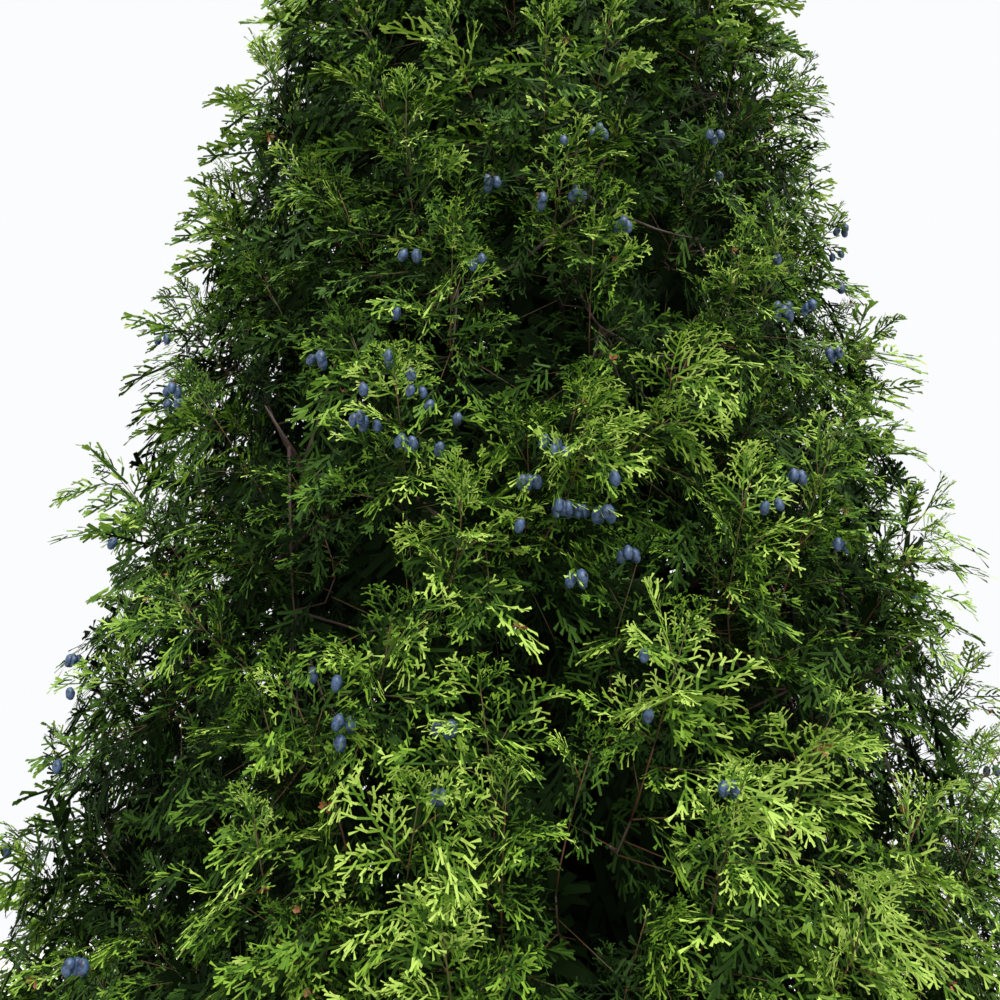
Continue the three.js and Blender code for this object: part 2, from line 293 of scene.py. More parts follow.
# Meshes from arrays
class Shape:  # gathers vertices and triangles, each with a material number
    def __init__(self):
        self.points, self.faces, self.finishes = [], [], []
        self.count = 0

    def add(self, points, faces, finishes=0):
        self.points.append(points)
        self.faces.append(faces + self.count)
        self.finishes.append(np.broadcast_to(finishes, (len(faces),)))
        self.count += len(points)

    def triangles(self):
        return sum(len(faces) for faces in self.faces)

    def hold(self, low, high):  # draws in what stands out of a box
        self.points = [np.clip(points, low, high) for points in self.points]

    def toObject(self, name, materials, smooth=False):
        points = np.concatenate(self.points).astype(np.float32)
        faces = np.concatenate(self.faces).astype(np.int32)
        mesh = bpy.data.meshes.new(name)
        mesh.vertices.add(len(points))
        mesh.vertices.foreach_set("co", points.ravel())
        mesh.loops.add(3 * len(faces))
        mesh.loops.foreach_set("vertex_index", faces.ravel())
        mesh.polygons.add(len(faces))
        mesh.polygons.foreach_set("loop_start", np.arange(0, 3 * len(faces), 3, dtype=np.int32))
        for material in materials:
            mesh.materials.append(material)
        mesh.polygons.foreach_set("material_index", np.concatenate(self.finishes).astype(np.int32))
        mesh.polygons.foreach_set("use_smooth", np.full(len(faces), smooth))
        mesh.update(calc_edges=True)
        return addObject(name, mesh)


def place(piece, slotName, nodes):
    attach(piece, "root")
    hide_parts(*nodes)


def anglesRound(sides):
    return 2 * pi * np.arange(sides) / sides


def gridFaces(rings, sides):  # the side of a tube and its two ends, whose middle points come last
    around = np.arange(sides)
    ahead = (around + 1) % sides
    starts = sides * np.arange(rings)[:, None]
    first, second = (starts + around).ravel(), (starts + ahead).ravel()
    low = np.full(sides, (rings + 1) * sides)
    last = rings * sides
    return np.concatenate([
        np.stack([first, second, second + sides], 1),
        np.stack([first, second + sides, first + sides], 1),
        np.stack([low, ahead, around], 1),
        np.stack([low + 1, last + around, last + ahead], 1),
    ])


def tube(centres, radii, sides):  # radii: one per ring, or one per ring and side
    centres = np.asarray(centres)
    rings = len(centres) - 1
    along = np.gradient(centres, axis=0)
    along /= norm(along, axis=1, keepdims=True)
    across = np.cross(up, along)
    steep = norm(across, axis=1) < 0.05
    across[steep] = (1.0, 0.0, 0.0)
    across /= norm(across, axis=1, keepdims=True)
    over = np.cross(along, across)
    angles = anglesRound(sides)
    radii = np.reshape(radii, (len(centres), -1))
    wall = (
        centres[:, None]
        + (radii * np.cos(angles))[..., None] * across[:, None]
        + (radii * np.sin(angles))[..., None] * over[:, None]
    )
    points = np.concatenate([wall.reshape(-1, 3), centres[:1], centres[-1:]])
    return points, gridFaces(rings, sides)


def addLimb(shape, curve, shares, radii, sides, finish=0):  # a tube along a curve
    shape.add(*tube([bezierPoint(curve, share) for share in shares], radii, sides), finish)


def barkStrips(angles, lengths, strips, seed):  # strips that part and rejoin: 0 in a crack, 1 on a strip
    numbers = seededNumbers(seed)
    waves = np.zeros(np.broadcast(angles, lengths).shape)
    for turns, pace, share in stripWaves:
        waves = waves + share * np.sin(turns * angles + pace * lengths + anyTurn(numbers))
    strip = np.abs(np.sin(0.5 * strips * angles + 2.2 * waves))
    fine = np.abs(np.sin(strips * angles + 3.1 * waves + 9 * lengths))
    flake = 0.5 + 0.5 * np.sin(31 * lengths + 3 * waves + 2 * np.sin(3 * angles + 4 * lengths))
    return strip ** 0.6 * (0.7 + 0.3 * fine) - 0.18 * flake * strip


# The trunk, with the strips of its bark in relief
def trunkShape():
    shape = Shape()
    heights = trunk["tipHeight"] * np.linspace(0, 1, trunk["rings"] + 1) ** trunk["ringCrowding"]
    angles = anglesRound(trunk["sides"])
    centres = np.array([trunkCentre(height) for height in heights])
    radii = np.array([trunkRadiusAt(height) for height in heights])[:, None]
    ridge = trunk["rootRidgeShare"] * np.exp(-heights / trunk["flareHeight"])[:, None]
    lobes = 1 + ridge * np.cos(trunk["rootRidges"] * np.arctan2(np.cos(angles), -np.sin(angles)))
    strips = barkStrips(angles[None], heights[:, None], trunk["stripsAround"], trunk["stripSeed"])
    depth = trunk["stripDepth"] * np.minimum(radii / trunk["radius"], 1)
    wall = radii * lobes + depth * (strips - stripLevel)
    points = np.stack([
        centres[:, :1] + wall * np.cos(angles),
        centres[:, 1:2] + wall * np.sin(angles),
        np.broadcast_to(heights[:, None], wall.shape),
    ], -1)
    points = np.concatenate([points.reshape(-1, 3), centres[:1], centres[-1:]])
    shape.add(points, gridFaces(trunk["rings"], trunk["sides"]))
    return shape


def boughShape():
    shape = Shape()
    shares = np.linspace(0, 1, bough["rings"] + 1)
    angles = anglesRound(bough["sides"])
    for number, plan in enumerate(plans):
        lengths = shares * norm(plan["curve"][2] - plan["curve"][0])
        smooth = partWay(shares, plan["baseRadius"], plan["endRadius"])
        seed = bough["stripSeed"] + number
        strips = barkStrips(angles[None], lengths[:, None], bough["stripsAround"], seed)
        collar = 1 + bough["collar"] * np.exp(-shares / bough["collarShare"])
        radii = (smooth * collar)[:, None] + bough["stripDepth"] * (strips - stripLevel)
        addLimb(shape, plan["curve"], shares, radii, bough["sides"])
    return shape


# Sprays: loose brushes of thin arching shoots, one unit long along y, with x across and z as their lift
sprayGrades = {  # side shoots, forks on each, width of a shoot, and whether the shoots are arched
    "near": (9, 2, 0.036, True),
    "middle": (8, 1, 0.05, True),
    "far": (7, 1, 0.08, False),
    "shaded": (9, 2, 0.046, False),
    "backing": (8, 0, 0.075, False),
    "deep": (8, 0, 0.085, False),
}
spray = {
    "kinds": 12,
    "seed": 4000,
    "lean": 0.25,
    "twist": 0.6,
    "spine": 0.9,
    "sideZone": (0.08, 0.82),
    "sideLength": 0.46,
    "sideJitter": (0.75, 1.2),
    "sideAngle": (0.9, 0.42),
    "angleJitter": 0.2,
    "armShare": 0.5,
    "outerShare": 0.55,
    "straighten": 0.45,
    "forkZone": (0.15, 0.5),
    "forkAngle": (0.5, 0.85),
    "forkLength": (0.1, 0.17),
    "endAngles": (-0.4, 0.05, 0.45),
    "endLength": (0.12, 0.2),
    "lift": 0.42,
    # painted shade darkens the spine and the inner arms of the shoots; the shoot tips are lighter, partly as
    # paler young growth and partly as painted light
    "baseShadeTone": -1.4,
    "tipTone": 0.8,
    "shootTone": 0.8,
}


def sprayKind(seed, sideShoots, forks, width, arched):  # points, faces and for each face its change of tone
    numbers = seededNumbers(seed)
    points, faces, tones = [], [], []
    lean = swing(numbers, spray["lean"])

    def rod(base, angle, length, rise, narrow, wide, level):  # a blunt rod, or a wedge where narrow is 0
        across = np.array([cos(angle), -sin(angle), swing(numbers, spray["twist"])])
        across *= 0.5 * width
        tip = base + length * np.array([sin(angle), cos(angle), rise])
        first = len(points)
        points.extend([tip + wide * across, tip - wide * across, base - narrow * across])
        faces.append((first, first + 1, first + 2))
        if narrow:
            points.append(base + narrow * across)
            faces.append((first, first + 2, first + 3))
        tones.extend([level] * (len(faces) - len(tones)))
        return tip

    def shoot(base, angle, length):
        rise = swing(numbers, spray["lift"])
        level = swing(numbers, spray["shootTone"])
        outer = base
        if arched:
            outer = rod(base, angle, spray["armShare"] * length, rise, 0.7, 0.95, level + spray["baseShadeTone"])
            angle *= 1 - spray["straighten"]
            length *= spray["outerShare"]
        tip = rod(outer, angle, length, 0.4 * rise + 0.1, 0.95, 0.7, level + spray["tipTone"])
        first, span = spray["forkZone"]
        for fork in range(forks):
            place = outer + (first + span * (fork + next(numbers)) / forks) * (tip - outer)
            turn = (1 if fork % 2 else -1) * copysign(between(numbers, *spray["forkAngle"]), angle)
            reach = between(numbers, *spray["forkLength"])
            rod(place, angle + turn, reach, rise, 0, 1.0, level + spray["tipTone"])

    def spine(share):
        return np.array([lean * share * share, spray["spine"] * share, 0.0])

    rod(spine(0), 0.5 * lean, spray["spine"], 0, 0.9, 0.7, spray["baseShadeTone"])
    side = 1 if next(numbers) < 0.5 else -1
    first, span = spray["sideZone"]
    for number in range(sideShoots):
        share = first + span * (number + swing(numbers, 0.3)) / sideShoots
        angle = side * (partWay(share, *spray["sideAngle"]) + swing(numbers, spray["angleJitter"]))
        longest = spray["sideLength"] * (1 - share) ** 0.45 * (0.7 + 0.6 * share)
        shoot(spine(share), angle, longest * between(numbers, *spray["sideJitter"]))
        side = -side
    for angle in spray["endAngles"] if forks else (0.0,):
        angle += lean + swing(numbers, 0.15)
        rod(spine(0.9), angle, between(numbers, *spray["endLength"]), 0.1, 0.8, 0.75, spray["tipTone"])
    return np.array(points), np.array(faces), np.array(tones)


sprayKinds = {}
for order, (grade, look) in enumerate(sprayGrades.items()):
    seeds = [spray["seed"] + 100 * order + number for number in range(spray["kinds"])]
    sprayKinds[grade] = [sprayKind(seed, *look) for seed in seeds]
print("spray triangles:", {grade: len(kinds[0][1]) for grade, kinds in sprayKinds.items()})

# Plumes: each is a leader that rises to the crown's surface, with fronds of sprays all round it
# the twig finishes: young wood, green ends, and old wood that is also darkened as painted shade inside the
# crown
youngWood, greenEnd, oldWoodShaded = range(3)
dense = ((0.15, 0.9, 0.8), (0.36, -0.85, 0.88), (0.62, 0.75, 0.85), (0.97, 0.0, 1.0))
sparse = ((0.3, 0.85, 0.85), (0.5, -0.8, 0.88), (0.97, 0.0, 1.0))  # each spray's place, turn and size
plume = {
    "spacing": 0.233,
    "length": (0.3, 0.42),
    "sizes": (0.78, 1.2),
    "rise": 0.8,
    "outward": 0.68,
    "sideways": 0.26,
    "underSurface": 0.17,
    "underPower": 1.6,
    "leastUnder": 0.012,
    "proud": 0.07,
    "seamDepth": 0.11,
    "seamWidth": 0.07,
    "sway": 0.045,
    "hub": 0.06,
    "jitter": 0.05,
    "probeShare": 0.85,
    "seamShare": 0.8,
    "margins": (0.08, 0.12),
    "startShares": (0.35, 0.55, 0.75, 0.95),
    "startBelow": 0.3,
    "startBehind": 0.2,
    "woods": ((0, 0.5, oldWoodShaded), (0.5, 0.75, youngWood), (0.75, 1, greenEnd)),
    "fronds": {"near": 12, "middle": 12, "far": 9},
    "spraysAlong": {"near": dense, "middle": sparse, "far": sparse},
    "frondZone": (0.24, 0.97),
    "frondLength": (0.14, 0.045),
    "frondDroop": 0.35,
    "opening": 1.3,
    "closing": 0.85,
    "lengthJitter": (0.85, 1.15),
    "sprayLength": {"near": 0.1, "middle": 0.11, "far": 0.128},
    "sprayDroop": 0.3,
    "droopJitter": (0.6, 1.4),
    "coneDepths": (0.002, 0.05),
    "turnJitter": (0.8, 1.2),
    "turnSwing": 0.1,
    "slack": 0.01,
    "leastTrim": 0.55,
    "tipSprays": ((-0.55, 0.16), (0.0, 0.02), (0.55, 0.1)),  # each one's turn and its distance from the tip
    "tipLength": (0.62, 0.2),
    "roll": {"near": 0.55, "middle": 1.1, "far": 0.9},
    "radius": 0.0026,
    "tipRadius": 0.0009,
    "frondRadii": (0.0012, 0.0006),
    "seed": 20000,
    "seedStep": 13,
    "leastSize": 0.45,
    "smallestCrown": 0.55,
    "leadSpace": 0.14,
}
leadPlumes = [  # plumes that stand out in front of the others: bearing in degrees, height, size
    (-103, 1.94, 1.15),
    (-96, 1.84, 1.1),
    (-111, 1.86, 1.15),
    (-100, 1.7, 1.2),
    (-94, 1.72, 1.0),
    (-112, 1.68, 1.1),
    (-98, 1.55, 1.1),
    (-80, 1.93, 1.2),
    (-77, 1.72, 1.1),
    (-68, 1.82, 1.2),
    (-60, 1.7, 1.2),
    (-68, 1.58, 1.1),
    (-88, 1.76, 0.9),
    (-98, 2.13, 1.05),
    (-72, 2.18, 1.1),
    (-87, 2.27, 1.1),
    (-100, 2.62, 1.2),
    (-76, 2.4, 1.1),
    (-62, 2.24, 1.1),
]
inner = {  # sprays in the shade, so many to a square metre of the crown's surface; their low levels give them dark greens as painted shade, the deep ones the darkest
    "shaded": {"density": 185, "length": (0.09, 0.13), "depth": (0.1, 0.32), "level": (-0.6, 1.5)},
    "backing": {"density": 140, "length": (0.13, 0.17), "depth": (0.13, 0.36), "level": (-0.8, 1.2)},
    "deep": {"density": 145, "length": (0.17, 0.25), "depth": (0.24, 0.75), "level": (-2, -1)},
    "leftOut": {"shaded": "far", "backing": "near", "deep": ""},  # where each kind isn't needed
    "margins": (0.06, 0.15),
    "deepest": 0.75,
    "probeShare": 0.8,
    "outward": (-0.2, 0.5),
    "seed": 50000,
    "seedStep": 17,
}
topPlume = {
    "count": 20,
    "size": 0.5,
    "shrink": 0.12,
    "heights": (5.82, 6.28),
    "centre": 6.08,
    "tip": 6.33,
    "radii": (0.006, 0.004, 0.002),
    "shaded": 90,
    "length": 0.1,
    "seed": 9000,
}
detail = {  # how far round from the camera's side, and between which heights, sprays are made finer
    "bearing": -1.57,
    "near": (1.0, 1.3, 3.0),
    "middle": (1.45, 1.15, 3.7),
}

# Tones run from 0, the darkest green, to 5, the palest tips; each spray gets one. Much of a tone is painted
# light and shade: darker deeper in the crown, lighter facing up, facing outward and higher on a plume; the
# tip sprays are lighter, partly as paler young growth and partly as painted light
tone = {
    "surface": 2.75,
    "paintedShadePerDepth": 12,
    "plumeSpread": 0.7,
    "spraySpread": 0.9,
    "paintedLightFacingUp": 0.5,
    "paintedLightUpPlume": 1.7,
    "upFrom": 0.4,
    "outside": 0.8,
    "tip": 0.2,
}
litAndShadedPlaces = [  # places painted lighter as if sunlit, then places painted darker as shade: bearing in degrees, height, size, lift in tone
    (-103, 1.77, 0.25, 0.7),
    (-100, 1.56, 0.2, 0.5),
    (-102, 1.92, 0.15, 0.5),
    (-81, 1.82, 0.18, 0.9),
    (-68, 1.76, 0.22, 1.1),
    (-64, 1.52, 0.22, 1.1),
    (-88, 2.2, 0.22, 0.8),
    (-54, 2.6, 0.2, 0.6),
    (-68, 2.18, 0.22, 0.6),
    (-97, 2.07, 0.13, 0.6),
    (-95, 3.0, 0.3, 0.5),
    (20, 1.5, 0.3, 0.9),
    (60, 2.4, 0.3, 0.7),
    (90, 1.3, 0.25, 1.0),
    (140, 1.7, 0.3, 0.9),
    (205, 2.5, 0.25, 0.7),
    (0, 3.4, 0.25, 0.6),
    (120, 3.8, 0.25, 0.6),
    (-128, 1.6, 0.32, -0.4),
    (-150, 1.9, 0.4, -0.7),
    (-150, 2.6, 0.4, -0.7),
    (-86, 1.61, 0.17, -1.7),
    (-107, 2.03, 0.14, -1.2),
    (-78, 2.04, 0.12, -1.2),
    (-56, 1.94, 0.15, -1.0),
    (-52, 2.05, 0.32, -0.7),
    (-45, 2.9, 0.35, -0.3),
]
hollows = [  # gaps straight in from the surface: bearing in degrees, height, radius, depth, slope
    (-91, 1.7, 0.045, 0.4, 0.15),
    (-87, 1.58, 0.08, 0.35, 0.15),
    (-85, 1.67, 0.06, 0.3, 0.15),
    (-89, 1.5, 0.06, 0.3, 0.15),
    (-108, 2.03, 0.06, 0.35, 0.15),
    (-73, 1.95, 0.06, 0.35, 0.15),
    (-91, 2.42, 0.05, 1.0, 0.62),
    (-75, 2.02, 0.05, 0.35, 0.15),
    (-91, 1.85, 0.04, 1.0, 0.2),
    (35, 1.9, 0.07, 0.4, 0.15),
    (110, 1.5, 0.07, 0.4, 0.15),
    (190, 2.2, 0.07, 0.4, 0.15),
]


def surfacePoint(degrees, height):
    bearing = radians(degrees)
    return besideTrunk(bearing, reachAt(height, bearing), height)


hollowLead = 0.15  # how far outside the surface a gap starts
hollowMargins = {"plume": -0.02, "twig": 0.03, "inner": 0.02}  # how much wider a gap is for each
hollowLines = []
for degrees, height, radius, depth, slope in hollows:
    outward = outwardAt(radians(degrees))
    start = surfacePoint(degrees, height) + hollowLead * outward - hollowLead * slope * up
    hollowLines.append((start, unit(slope * up - outward), radius, depth))
litAndShadedCentres = [(surfacePoint(degrees, height), size, lift) for degrees, height, size, lift in litAndShadedPlaces]
leadCentres = [(surfacePoint(degrees, height), degrees, size) for degrees, height, size in leadPlumes]


def inHollow(point, margin=0.0):
    for start, inward, radius, depth in hollowLines:
        step = point - start
        along = float(step @ inward)
        if 0 < along < depth + hollowLead and norm(step - along * inward) < radius + margin:
            return True
    return False


# painted light and painted shade: how much lighter or darker the places above make a point
def paintedLightAt(point):
    total = 0
    for centre, size, lift in litAndShadedCentres:
        away = norm(point - centre) / size
        if away < 1.6:
            total += lift * exp(-away * away)
    return total


def gradeAt(bearing, height):
    turn = abs((bearing - detail["bearing"] + pi) % (2 * pi) - pi)
    for grade in ("near", "middle"):
        most, low, high = detail[grade]
        if turn < most and low < height < high:
            return grade
    return "far"


def addSpray(shape, kind, root, direction, face, length, droop, level):
    points, faces, tones = kind
    across = np.cross(direction, face)
    along = points[:, 1:2]
    placed = root + length * (
        points[:, :1] * across + along * direction + (points[:, 2:] - 0.05 * along * along) * face
    )
    placed[:, 2] -= droop * length * points[:, 1] ** 2
    shape.add(placed, faces, np.clip(np.floor(level + tones), 0, 5).astype(int))


def ownHalfSpaces(centre, centres):
    others = [other for other in centres if other is not centre]
    return [(unit(other - centre), 0.5 * (other + centre)) for other in others]


def within(point, spaces):
    return all((point - middle) @ normal <= 0 for normal, middle in spaces)


def betweenEnds(height, margins):  # clear of the crown's floor and its tip
    return crown["floor"] + margins[0] <= height <= crown["height"] - margins[1]


def dealtOut(plan, count):  # places spread over a mass by the golden angle: how far aside and how far up
    for number in range(count):
        spread = plan["width"] * sqrt((number + 0.5) / count)
        turn = plan["startTurn"] + goldenAngle * number
        yield spread * cos(turn), spread * sin(turn)


def growSpray(group, numbers, root, direction, face, length, level):
    tip = root + length * direction
    tip[2] -= plume["sprayDroop"] * length
    depth = depthInCrown(tip)
    if depth < -crown["overshoot"]:
        length *= max(plume["leastTrim"], 1 + (depth + crown["overshoot"]) / length)
        tip = root + length * direction
        depth = depthInCrown(tip)
    middle = 0.5 * (root + tip)
    if depth < -crown["overshoot"] - plume["slack"] or tip[2] < crown["floor"] or inHollow(middle):
        return False
    # painted shade darkens sprays deeper under the surface; the lit and shaded places add painted light and
    # painted shade, and sprays that point up get painted light
    level = level + tone["surface"] - tone["paintedShadePerDepth"] * max(depth, 0) + swing(numbers, tone["spraySpread"])
    level += paintedLightAt(middle)
    level += tone["paintedLightFacingUp"] * direction[2]
    kinds = sprayKinds[group["grade"]]
    kind = kinds[int(next(numbers) * len(kinds))]
    droop = plume["sprayDroop"] * between(numbers, *plume["droopJitter"])
    addSpray(group["sprays"], kind, root, direction, face, length, droop, level)
    shallow, deep = plume["coneDepths"]
    if shallow < depth < deep:
        coneEnds.append(0.4 * root + 0.6 * tip)
    return True


def growFrond(group, numbers, base, direction, outward, length, size, level):
    grade = group["grade"]
    end = base + length * direction - plume["frondDroop"] * length * up
    lengthways = unit(end - base)
    face = squared(unit(0.75 * outward + 0.5 * up + 0.5 * anyWay(numbers)), lengthways)
    sideways = np.cross(lengthways, face)
    sprayLength = plume["sprayLength"][grade] * size
    grown = False
    for share, angle, scale in plume["spraysAlong"][grade]:
        turn = angle * between(numbers, *plume["turnJitter"]) + swing(numbers, plume["turnSwing"])
        heading = unit(angled(turn, lengthways, sideways))
        roll = swing(numbers, plume["roll"][grade])
        rolled = unit(angled(roll, squared(face, heading), np.cross(heading, face)))
        root = base + share * (end - base)
        drawn = scale * sprayLength * between(numbers, *plume["lengthJitter"])
        grown = growSpray(group, numbers, root, heading, rolled, drawn, level)
    if grown and grade != "far":
        group["twigs"].add(*tube([base, end], plume["frondRadii"], 3), greenEnd)


def nearestStart(plan, point):  # where on the mass's stem or twigs a finer twig can start
    curves = [plan["stem"], *plan["twigs"]]
    starts = [bezierPoint(curve, share) for curve in curves for share in plume["startShares"]]
    return min(starts, key=lambda start: norm(start - point))


def growPlume(group, numbers, start, tip, bearing, size):
    grade = group["grade"]
    outward = outwardAt(bearing)
    sideways = np.cross(up, outward)
    length = between(numbers, *plume["length"]) * size
    lean = swing(numbers, plume["sideways"])
    axis = unit(plume["outward"] * outward + plume["rise"] * up + lean * sideways)
    base = tip - length * axis + swing(numbers, plume["sway"]) * size * sideways
    base[:2] *= max(1, plume["hub"] / max(norm(base[:2]), 1e-6))
    if inHollow(tip, hollowMargins["plume"]):
        return
    curve = (start, base, tip)
    level = swing(numbers, tone["plumeSpread"])
    for first, last, finish in plume["woods"]:
        shares = np.linspace(first, last, 3)
        radii = partWay(shares, plume["radius"] * size, plume["tipRadius"])
        addLimb(group["twigs"], curve, shares, radii, sides=3, finish=finish)
    group["plumes"].append((curve, bearing))
    firstTurn = anyTurn(numbers)
    fronds = plume["fronds"][grade]
    for number in range(fronds):
        share = (number + between(numbers, 0, 0.6)) / fronds
        where = partWay(share, *plume["frondZone"])
        along = bezierDirection(curve, where)
        across = unit(np.cross(along, up) + 1e-3 * sideways)
        over = np.cross(across, along)
        turn = firstTurn + goldenAngle * number
        opening = plume["opening"] - plume["closing"] * share + swing(numbers, plume["turnSwing"])
        direction = unit(angled(opening, along, angled(turn, across, over)))
        reach = partWay(share, *plume["frondLength"]) * size * between(numbers, *plume["lengthJitter"])
        # painted light: fronds higher on the plume and those facing outward are lighter
        frondLevel = level + tone["paintedLightUpPlume"] * (share - tone["upFrom"])
        frondLevel += tone["outside"] * (direction @ outward)
        growFrond(group, numbers, bezierPoint(curve, where), direction, outward, reach, size, frondLevel)
    along = bezierDirection(curve, 1)
    across = unit(np.cross(along, outward))
    shortest, spread = plume["tipLength"]
    for side, back in plume["tipSprays"]:
        heading = unit(along + side * across)
        face = squared(unit(outward + swing(numbers, 0.6) * across), heading)
        length = (shortest + spread * next(numbers)) * plume["sprayLength"][grade] * size
        # the tip sprays are lighter, partly as paler young growth and partly as painted light
        growSpray(group, numbers, tip - back * length * along, heading, face, length, level + tone["tip"])


def growFromMass(plan, group, numbers, tip, bearing, size):  # a plume that starts from its mass's own twigs
    start = nearestStart(plan, tip - plume["startBelow"] * up - plume["startBehind"] * outwardAt(bearing))
    group["grade"] = gradeAt(bearing, tip[2])
    growPlume(group, numbers, start, tip, bearing, size)


def growMass(plan, group):
    numbers = seededNumbers(plume["seed"] + plume["seedStep"] * int(plan["label"]))
    size = min(1.0, plume["leastSize"] + 0.5 * plan["reach"] / plume["smallestCrown"])
    count = int(pi * (plan["width"] / (plume["spacing"] * size)) ** 2)
    shares = np.linspace(0, 1, 6)
    addLimb(group["twigs"], plan["stem"], shares, stemRadiusAt(plan, shares), sides=8, finish=oldWoodShaded)
    for curve, radius in zip(plan["twigs"], plan["twigRadii"]):
        if not inHollow(curve[2], hollowMargins["twig"]):
            radii = partWay(shares, radius, limbTwig["tipRadius"])
            addLimb(group["twigs"], curve, shares, radii, sides=5, finish=oldWoodShaded)
    for aside, rise in dealtOut(plan, count):
        height = plan["height"] + rise + swing(numbers, plume["jitter"])
        bearing = plan["bearing"] + (aside + swing(numbers, plume["jitter"])) / plan["reach"]
        if not betweenEnds(height, plume["margins"]):
            continue
        inside = besideTrunk(bearing, plume["seamShare"] * plan["reach"], height)
        seam = min((middle - inside) @ normal for normal, middle in plan["spaces"])
        reach = reachAt(height, bearing)
        sunk = plume["leastUnder"] + plume["underSurface"] * next(numbers) ** plume["underPower"]
        sunk += plume["seamDepth"] * exp(-max(seam, 0) / plume["seamWidth"])
        sunk -= plume["proud"] * paintedLightAt(besideTrunk(bearing, reach, height))
        distance = reach - max(sunk, plume["leastUnder"])
        tip = besideTrunk(bearing, distance, height)
        inside = besideTrunk(bearing, plume["probeShare"] * distance, height)
        nearLead = any(norm(centre - tip) < plume["leadSpace"] for centre, _, _ in leadCentres)
        if within(inside, plan["spaces"]) and not nearLead:
            growFromMass(plan, group, numbers, tip, bearing, size * between(numbers, *plume["sizes"]))
    for centre, degrees, leadSize in leadCentres:
        if within(centre * (plume["probeShare"], plume["probeShare"], 1), plan["spaces"]):
            bearing = radians(degrees)
            tip = centre - plume["leastUnder"] * outwardAt(bearing)
            growFromMass(plan, group, numbers, tip, bearing, leadSize)


def growInner(plan, group, grade):  # the sprays in the shade inside a mass
    numbers = seededNumbers(inner["seed"] + inner["seedStep"] * int(plan["label"]) + len(grade))
    look = inner[grade]
    for aside, rise in dealtOut(plan, int(look["density"] * pi * plan["width"] * plan["width"])):
        height = plan["height"] + rise
        bearing = plan["bearing"] + aside / plan["reach"]
        if not betweenEnds(height, inner["margins"]):
            continue
        reach = reachAt(height, bearing)
        distance = reach - min(between(numbers, *look["depth"]), inner["deepest"] * reach)
        root = besideTrunk(bearing, distance, height)
        probe = besideTrunk(bearing, inner["probeShare"] * reach, height)
        unneeded = gradeAt(bearing, height) == inner["leftOut"][grade]
        if unneeded or not within(probe, plan["spaces"]) or inHollow(root, hollowMargins["inner"]):
            continue
        outward = outwardAt(bearing)
        sideways = np.cross(up, outward)
        spoke = angled(anyTurn(numbers), sideways, up)
        heading = unit(spoke + between(numbers, *inner["outward"]) * outward)
        face = squared(unit(outward + 0.6 * anyWay(numbers)), heading)
        length = between(numbers, *look["length"]) * min(1, 0.5 + reach)
        kind = sprayKinds[grade][int(next(numbers) * spray["kinds"])]
        # painted shade: the sprays inside take low tones, so dark greens
        level = between(numbers, *look["level"])
        addSpray(group[grade], kind, root, heading, face, length, plume["sprayDroop"], level)


def growTop(group):  # the leader of the tree, with short plumes round it
    numbers = seededNumbers(topPlume["seed"])
    start = trunkCentre(trunk["tipHeight"])
    end = trunkCentre(topPlume["tip"] - 0.02)
    group["twigs"].add(*tube([start, 0.5 * (start + end), end], topPlume["radii"], 6))
    group["grade"] = "far"
    for number in range(topPlume["count"]):
        share = number / (topPlume["count"] - 1)
        height = partWay(share, *topPlume["heights"])
        bearing = goldenAngle * number
        distance = max(reachAt(height, bearing) - 0.03, 0.03)
        tip = besideTrunk(bearing, distance, height)
        base = trunkCentre(min(height - 0.12, trunk["tipHeight"] + 0.1))
        growPlume(group, numbers, base, tip, bearing, topPlume["size"] - topPlume["shrink"] * share)
    growSpray(group, numbers, end, up, outwardAt(-1.2), 0.05, 0.6)
    for number in range(topPlume["shaded"]):
        share = number / topPlume["shaded"]
        outward = outwardAt(goldenAngle * number)
        sideways = np.cross(up, outward)
        root = trunkCentre(partWay(share, *topPlume["heights"]))
        heading = unit(0.7 * outward + up)
        face = squared(unit(np.cross(heading, sideways) + swing(numbers, 0.5) * sideways), heading)
        kind = sprayKinds["shaded"][number % spray["kinds"]]
        length = topPlume["length"] * (1.2 - 0.6 * share)
        addSpray(group["shaded"], kind, root, heading, face, length, 0.2, 0.6)


# A few masses share a piece, low ones first, so that each piece stays under the export's limit
massesPerPiece = 4
centres = [plan["centre"] for plan in plans] + [trunkCentre(topPlume["centre"])]
for plan in plans:
    plan["spaces"] = ownHalfSpaces(plan["centre"], centres)
twigShape, innerShape, deepShape = Shape(), Shape(), Shape()
groups = []
coneEnds = []  # places near the tips of sprays, where cones can hang
for first in range(0, len(plans), massesPerPiece):
    members = plans[first:first + massesPerPiece]
    group = {"sprays": Shape(), "twigs": twigShape, "plumes": []}
    group.update({"shaded": innerShape, "backing": innerShape, "deep": deepShape})
    group["nodes"] = [f"foliage-{plan['label']}" for plan in members]
    for plan in members:
        growMass(plan, group)
        for grade in ("shaded", "backing", "deep"):
            growInner(plan, group, grade)
    if first + massesPerPiece >= len(plans):
        group["nodes"].append("foliage-top")
        growTop(group)
    groups.append(group)
    print("foliage piece", len(groups), "plumes", len(group["plumes"]), "of", group["sprays"].triangles())

